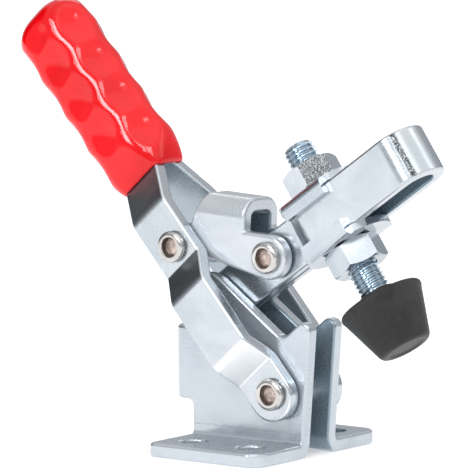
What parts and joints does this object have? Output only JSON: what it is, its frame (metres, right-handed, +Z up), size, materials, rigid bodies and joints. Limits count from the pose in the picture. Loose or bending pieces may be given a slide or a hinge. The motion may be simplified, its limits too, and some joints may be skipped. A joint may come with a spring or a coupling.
{
  "type": "toggle clamp",
  "caption": "Vertical-handle toggle clamp: flanged sheet-steel base, slotted U-bar arm with adjustable rubber-tipped spindle, link and red dipped grip.",
  "frame": {"origin": "Underside of the base, midway between the four mounting holes", "axes": "+X forward to the spindle, +Y to the left of the clamp seen from behind the handle, +Z up"},
  "size_m": [0.1289, 0.0516, 0.1118],
  "materials": {
    "zinc_sheet": "bright zinc plating, bluish, lightly grained",
    "zinc_fastener": "bright zinc plating",
    "zinc_thread": "bluish zinc plating on a rolled thread",
    "nickel_rivet": "bright, slightly warm",
    "turned_steel": "turned, bare",
    "red_grip": "glossy dipped vinyl",
    "black_rubber": "matt rubber"
  },
  "bodies": {
    "base": {"base_bracket": "zinc_sheet", "base_rivet": "nickel_rivet", "base_spacer": "turned_steel", "arm_rivet": "nickel_rivet", "arm_bush": "turned_steel"},
    "handle": {"handle_strip_left": "zinc_sheet", "handle_strip_right": "zinc_sheet", "handle_grip": "red_grip", "handle_rivet_left": "nickel_rivet", "handle_rivet_right": "nickel_rivet"},
    "arm": {"clamp_arm": "zinc_sheet"},
    "link": {"link_channel": "zinc_sheet", "link_rivet": "nickel_rivet", "link_bush": "turned_steel"},
    "washers": {"upper_washer": "zinc_fastener", "lower_washer": "zinc_fastener", "upper_nut": "zinc_fastener", "lower_nut": "zinc_fastener"},
    "spindle": {"spindle": "zinc_thread", "rubber_tip": "black_rubber"}
  },
  "joints": [
    {"name": "handle_pivot", "type": "hinge", "parent": "base", "child": "handle", "pos_m": [0.0109, 0, 0.01615], "axis": [0, 1, 0], "range_deg": [-20, 10.2]},
    {"name": "arm_pivot", "type": "hinge", "parent": "base", "child": "arm", "pos_m": [-0.0124, 0, 0.0367], "axis": [0, 1, 0], "range_deg": [-60.6, 34.5]},
    {"name": "link_pivot", "type": "hinge", "parent": "arm", "child": "link", "pos_m": [0.00686, 0, 0.04945], "axis": [0, 1, 0], "range_deg": [-7.5, 51.7]},
    {"name": "spindle_reach", "type": "slide", "parent": "arm", "child": "washers", "axis": [0.8241, 0, 0.5664], "range_m": [0, 0.02]},
    {"name": "spindle_height", "type": "slide", "parent": "washers", "child": "spindle", "axis": [0.5664, 0, -0.8241], "range_m": [-0.005, 0.005]}
  ],
  "couplings": [
    {"joint": "arm_pivot", "follows": "handle_pivot", "ratio": 2.55},
    {"joint": "link_pivot", "follows": "handle_pivot", "ratio": 0.15}
  ]
}
